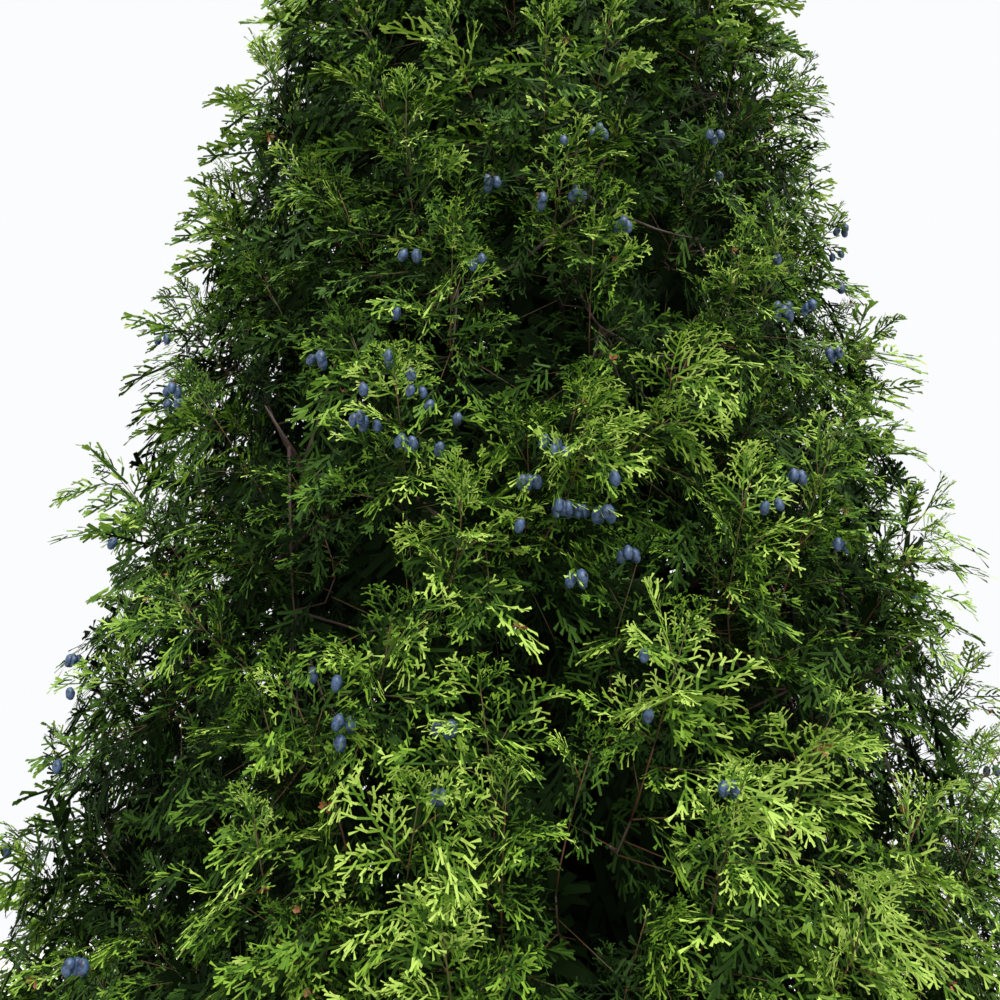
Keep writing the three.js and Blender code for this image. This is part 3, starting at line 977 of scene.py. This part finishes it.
# Cones: young ones are blue and egg-shaped, last year's are small, brown and open
cone = {
    "share": 0.17,
    "perGroup": (1, 4),
    "perTip": (1, 3.6),
    "radius": (0.0072, 0.009),
    "lengthShare": 1.5,
    "around": 8,
    "rings": 6,
    "alongPlume": (0.7, 0.95),
    "nearestTips": 120,
    "apart": 0.027,
    "hang": 0.012,
    "lean": (0.1, 0.4),
    "brownShare": 0.4,
    "brownSize": 0.01,
    "brownSizes": (0.6, 1.1),
    "seed": 70000,
}
coneGroups = [  # the fullest groups: bearing in degrees, height, how many tips carry them
    (-101, 2.36, 9),
    (-88, 2.12, 8),
    (-94, 2.82, 3),
    (-75, 2.8, 3),
    (-55, 2.5, 3),
    (-67, 2.12, 3),
    (-78, 1.8, 1),
    (-108, 1.83, 1),
    (-130, 1.53, 1),
]


def coneKind():  # a blunt egg with low horns, one unit in radius
    angles = anglesRound(cone["around"])
    rows = []
    for ring in range(1, cone["rings"]):
        slope = pi * ring / cone["rings"]
        radius = sin(slope) * (1 + 0.06 * np.cos(3 * angles + 2.1 * ring))
        height = cone["lengthShare"] * cos(slope) * (1 + 0.04 * np.sin(3 * angles))
        rows.append(np.stack([radius * np.cos(angles), radius * np.sin(angles), height], 1))
    points = np.concatenate([*rows, [[0, 0, cone["lengthShare"]], [0, 0, -cone["lengthShare"]]]])
    return points, gridFaces(cone["rings"] - 2, cone["around"])[:, ::-1]


def brownKind():  # four thin scales that stand open
    points, faces = [], []
    for number in range(4):
        turn = pi * number / 2 + 0.3 * number
        ahead = np.array([cos(turn), sin(turn), 0.9])
        across = np.array([-sin(turn), cos(turn), 0.0])
        points += [np.zeros(3), 0.7 * ahead + 0.38 * across, 1.1 * ahead, 0.7 * ahead - 0.38 * across]
        faces += [[4 * number, 4 * number + 1, 4 * number + 2], [4 * number, 4 * number + 2, 4 * number + 3]]
    return np.array(points), np.array(faces)


def turned(points, axis):  # stands a shape's z along the axis
    across = unit(np.cross(axis, up) + np.array([1e-4, 0, 0]))
    over = np.cross(axis, across)
    return points[:, :1] * across + points[:, 1:2] * over + points[:, 2:] * axis


def hangCones(shape, kind, numbers, end):  # one cone at the tip of a spray, or a few side by side
    points, faces = kind
    outward = unit(end * (1, 1, 0))
    together = int(between(numbers, *cone["perTip"]))
    firstTurn = anyTurn(numbers)
    for number in range(together):
        radius = between(numbers, *cone["radius"])
        beside = outwardAt(firstTurn + 2 * pi * number / together)
        axis = unit(between(numbers, *cone["lean"]) * beside - up)
        apart = radius if together > 1 else 0
        centre = end + cone["hang"] * (0.5 * outward + axis) + apart * beside
        shape.add(centre + radius * turned(points, axis), faces)


def growCones(blueShape, brownShape):  # in groups, each on the tips nearest to its middle
    numbers = seededNumbers(cone["seed"])
    blueKind = coneKind()
    brownPoints, brownFaces = brownKind()
    ends = np.array(coneEnds)
    places = [(surfacePoint(degrees, height), count) for degrees, height, count in coneGroups]
    for curve, bearing in [entry for group in groups for entry in group["plumes"]]:
        middle = bezierPoint(curve, between(numbers, *cone["alongPlume"]))
        middle = middle + outwardAt(bearing) * depthInCrown(middle)
        count = int(between(numbers, *cone["perGroup"])) if next(numbers) < cone["share"] else 0
        places.append((middle, count))
    for middle, count in places:
        away = norm(ends - middle, axis=1)
        nearest = ends[np.argsort(away)[:cone["nearestTips"]]]
        used = []
        for end in nearest:
            if len(used) < count and all(norm(end - other) > cone["apart"] for other in used):
                used.append(end)
                hangCones(blueShape, blueKind, numbers, end)
        if next(numbers) < cone["brownShare"]:
            centre = nearest[int(next(numbers) * 60)]
            axis = unit(unit(centre * (1, 1, 0)) + anyWay(numbers))
            size = cone["brownSize"] * between(numbers, *cone["brownSizes"])
            brownShape.add(centre + size * turned(brownPoints, axis), brownFaces)


# Finishes
class Wire:  # one value among the nodes, so that its maths can be written as plain expressions
    def __init__(self, nodes, socket):
        self.nodes, self.socket = nodes, socket

    def maths(self, operation, first, second):
        return self.nodes.node("Math", {"operation": operation}, {0: first, 1: second})

    def __add__(self, other):
        return self.maths("ADD", self, other)

    def __sub__(self, other):
        return self.maths("SUBTRACT", self, other)

    def __rsub__(self, other):
        return self.maths("SUBTRACT", other, self)

    def __mul__(self, other):
        return self.maths("MULTIPLY", self, other)

    __radd__, __rmul__ = __add__, __mul__


class Nodes:  # the nodes of a material or of the sky, and the ways to add to them
    def __init__(self, tree):
        self.tree = tree

    def node(self, kind, settings, sockets, output=0):
        made = self.tree.nodes.new("ShaderNode" + kind)
        for name, value in settings.items():
            if name == "stops":
                for element, (position, colour) in zip(made.color_ramp.elements, value):
                    element.position, element.color = position, (*colour, 1)
            else:
                setattr(made, name, value)
        for name, value in sockets.items():
            self.feed(made.inputs[name], value)
        return Wire(self, made.outputs[output])

    def feed(self, socket, value):
        if isinstance(value, Wire):
            self.tree.links.new(value.socket, socket)
        elif socket.type == "RGBA":
            socket.default_value = (*value, 1)
        else:
            socket.default_value = value

    def blend(self, share, first, second):  # a mix of two colours
        return self.node("Mix", {"data_type": "RGBA"}, {0: share, 6: first, 7: second}, output=2)

    def steps(self, low, high, value):  # black up to low, white from high
        stops = [(low, (0, 0, 0)), (high, (1, 1, 1))]
        return self.node("ValToRGB", {"stops": stops}, {"Fac": value})


class Surface(Nodes):  # a material
    def __init__(self, name, roughness):
        self.material = bpy.data.materials.new(name)
        self.material.use_nodes = True
        super().__init__(self.material.node_tree)
        self.shader = self.tree.nodes["Principled BSDF"]
        self.set("Roughness", roughness)

    def noise(self, stretch, scale, detail=3.0, roughness=0.5):  # in the object's own coordinates, stretched
        where = self.node("TexCoord", {}, {}, output=3)
        where = self.node("Mapping", {}, {"Vector": where, "Scale": stretch})
        sockets = {"Vector": where, "Scale": scale, "Detail": detail, "Roughness": roughness}
        return self.node("TexNoise", {}, sockets)

    def set(self, name, value):
        self.feed(self.shader.inputs[name], value)

    def mottle(self, look, first, second):  # two colours mixed by a noise that also raises the surface
        height = self.noise(*look["noise"])
        distance, strength = look["bump"]
        sockets = {"Height": height, "Distance": distance, "Strength": strength}
        self.set("Normal", self.node("Bump", {}, sockets))
        return height, self.blend(self.steps(*look["edges"], height), first, second)


barkFinish = {
    "crack": (0.018, 0.008, 0.005),
    "strip": (0.085, 0.036, 0.022),
    "pale": (0.17, 0.1, 0.068),
    "paleShare": 0.45,
    "roughness": 0.88,
    "noise": ((38, 38, 3.2), 3.0, 6.0, 0.62),  # stretch, scale, detail and roughness
    "patches": ((1, 1, 0.6), 7.0),
    "edges": (0.36, 0.6),
    "bump": (0.004, 0.6),
}
twigFinish = {
    "deep": (0.018, 0.008, 0.004),
    "fresh": (0.12, 0.038, 0.014),
    # old wood of the limbs, darker than the bark, partly its own colour and partly painted shade
    "limb": (0.042, 0.019, 0.011),
    "green": (0.05, 0.07, 0.016),
    "roughness": 0.6,
    "noise": ((1, 1, 1), 60.0, 4.0),
    "edges": (0.35, 0.65),
    "bump": (0.0008, 0.4),
}
greenFinish = {"roughness": 0.55, "specular": 0.02, "specularStep": 0.035}
greens = [  # base colours of the sprays, darkest first; the tone a spray takes among them carries painted light and painted shade
    (0.005, 0.012, 0.003),
    (0.014, 0.038, 0.005),
    (0.03, 0.077, 0.007),
    (0.069, 0.151, 0.012),
    (0.15, 0.271, 0.024),
    (0.293, 0.425, 0.075),
]
coneFinish = {
    "shade": (0.006, 0.014, 0.04),
    "bloom": (0.038, 0.08, 0.175),
    "roughness": 0.38,
    "roughnessSpread": 0.2,
    "noise": ((1, 1, 1), 150.0),
    "edges": (0.36, 0.58),
    "bump": (0.0008, 0.3),
    "brown": (0.33, 0.12, 0.045),
    "brownDark": (0.12, 0.045, 0.02),
}


def barkMaterial():
    surface = Surface("cedar-bark", barkFinish["roughness"])
    fibres, brown = surface.mottle(barkFinish, barkFinish["crack"], barkFinish["strip"])
    patches = surface.noise(*barkFinish["patches"])
    weathered = (fibres * patches) * (4 * barkFinish["paleShare"]) - 0.1
    clipped = surface.node("Clamp", {}, {"Value": weathered})
    surface.set("Base Color", surface.blend(clipped, brown, barkFinish["pale"]))
    return surface.material


def twigMaterial(name, first, second):
    surface = Surface(name, twigFinish["roughness"])
    surface.set("Base Color", surface.mottle(twigFinish, first, second)[1])
    return surface.material


def greenMaterial(number, colour):
    surface = Surface(f"cedar-green-{number}", greenFinish["roughness"])
    surface.set("Base Color", colour)
    surface.set("Specular IOR Level", greenFinish["specular"] + greenFinish["specularStep"] * number)
    return surface.material


def coneMaterial():
    surface = Surface("cedar-cone-bloom", coneFinish["roughness"])
    patches, blue = surface.mottle(coneFinish, coneFinish["shade"], coneFinish["bloom"])
    surface.set("Base Color", blue)
    surface.set("Roughness", coneFinish["roughness"] + coneFinish["roughnessSpread"] * patches)
    return surface.material


barkLook = barkMaterial()
twigLooks = [
    twigMaterial("cedar-twig", twigFinish["deep"], twigFinish["fresh"]),
    twigMaterial("cedar-green-twig", twigFinish["green"], twigFinish["fresh"]),
    twigMaterial("cedar-limb-shaded", twigFinish["deep"], twigFinish["limb"]),
]
greenLooks = [greenMaterial(number, colour) for number, colour in enumerate(greens)]
coneLook = coneMaterial()
brownLook = twigMaterial("cedar-old-cone", coneFinish["brownDark"], coneFinish["brown"])

# The pieces
blueShape, brownShape = Shape(), Shape()
growCones(blueShape, brownShape)
print("cones:", len(blueShape.points))
allShapes = [twigShape, innerShape, deepShape, blueShape, brownShape] + [group["sprays"] for group in groups]
for shape in allShapes:
    shape.hold(np.array(solidBox[0]) - boxSlack, np.array(solidBox[1]) + boxSlack)
foliageNodes = [node for group in groups for node in group["nodes"]]
boughNodes = [f"bough-{plan['label']}" for plan in plans]
place(trunkShape().toObject("trunk-bark", [barkLook], smooth=True), "bark", ["trunk"])
place(boughShape().toObject("bough-bark", [barkLook], smooth=True), "bark", boughNodes)
place(twigShape.toObject("twigs", twigLooks, smooth=True), "twigs", foliageNodes)
place(innerShape.toObject("shaded-sprays", greenLooks), "foliage", foliageNodes)
place(deepShape.toObject("deep-sprays", greenLooks), "foliage", foliageNodes)
for number, group in enumerate(groups):
    place(group["sprays"].toObject(f"sprays-{number + 1}", greenLooks), "foliage", group["nodes"])
place(blueShape.toObject("cones", [coneLook], smooth=True), "cones", foliageNodes)
place(brownShape.toObject("old-cones", [brownLook]), "twigs", foliageNodes)
print("triangles in twigs, sprays and cones:", sum(shape.triangles() for shape in allShapes))

# Camera, light and floor
view = {"place": (-0.07, -2.4, 1.6), "pitch": 20, "lens": 37.8, "sensor": 36, "clip": (0.02, 200)}
light = {
    "sky": (0.96, 0.975, 0.985),
    "overhead": (2.3, 2.3, 2.2),
    "overheadFrom": 0.74,
    "overheadTo": 0.86,
    "sunStrength": 3.8,
    "sunColour": (1.0, 0.97, 0.88),
    "sunAngle": 22,
    "sunHeight": 50,
    "sunBearing": -72,
}
floorLook = {"pale": (0.62, 0.61, 0.59), "deeper": (0.5, 0.49, 0.475), "roughness": 0.85, "size": 60}


def addCamera():
    data = bpy.data.cameras.new("camera")
    data.lens, data.sensor_width = view["lens"], view["sensor"]
    data.clip_start, data.clip_end = view["clip"]
    camera = addObject("camera", data)
    camera.location = view["place"]
    camera.rotation_euler = (radians(90 + view["pitch"]), 0, 0)
    bpy.context.scene.camera = camera


def addLights():
    world = bpy.data.worlds.new("overcast")
    world.use_nodes = True
    sky = Nodes(world.node_tree)
    upward = sky.node("SeparateXYZ", {}, {0: sky.node("TexCoord", {}, {})}, output=2)
    band = {"Value": upward, "From Min": light["overheadFrom"], "From Max": light["overheadTo"]}
    colour = sky.blend(sky.node("MapRange", {}, band), light["sky"], light["overhead"])
    sky.feed(sky.tree.nodes["Background"].inputs["Color"], colour)
    bpy.context.scene.world = world
    data = bpy.data.lights.new("soft-key", "SUN")
    data.energy, data.color = light["sunStrength"], light["sunColour"]
    data.angle = radians(light["sunAngle"])
    lamp = addObject("soft-key", data)
    tilt = radians(90 - light["sunHeight"])
    lamp.rotation_euler = (tilt, 0, radians(light["sunBearing"] + 90))
    bpy.context.scene.view_settings.view_transform = "Standard"


def addFloor():
    shape = Shape()
    half = floorLook["size"] / 2
    points = np.array([[-half, -half, 0], [half, -half, 0], [half, half, 0], [-half, half, 0]], float)
    shape.add(points, np.array([[0, 1, 2], [0, 2, 3]]))
    surface = Surface("floor", floorLook["roughness"])
    speckle = surface.noise((1, 1, 1), 9.0, 4.0)
    surface.set("Base Color", surface.blend(speckle, floorLook["deeper"], floorLook["pale"]))
    shape.toObject("floor", [surface.material])


addCamera()
addLights()
addFloor()
print("camera, light and floor ready")
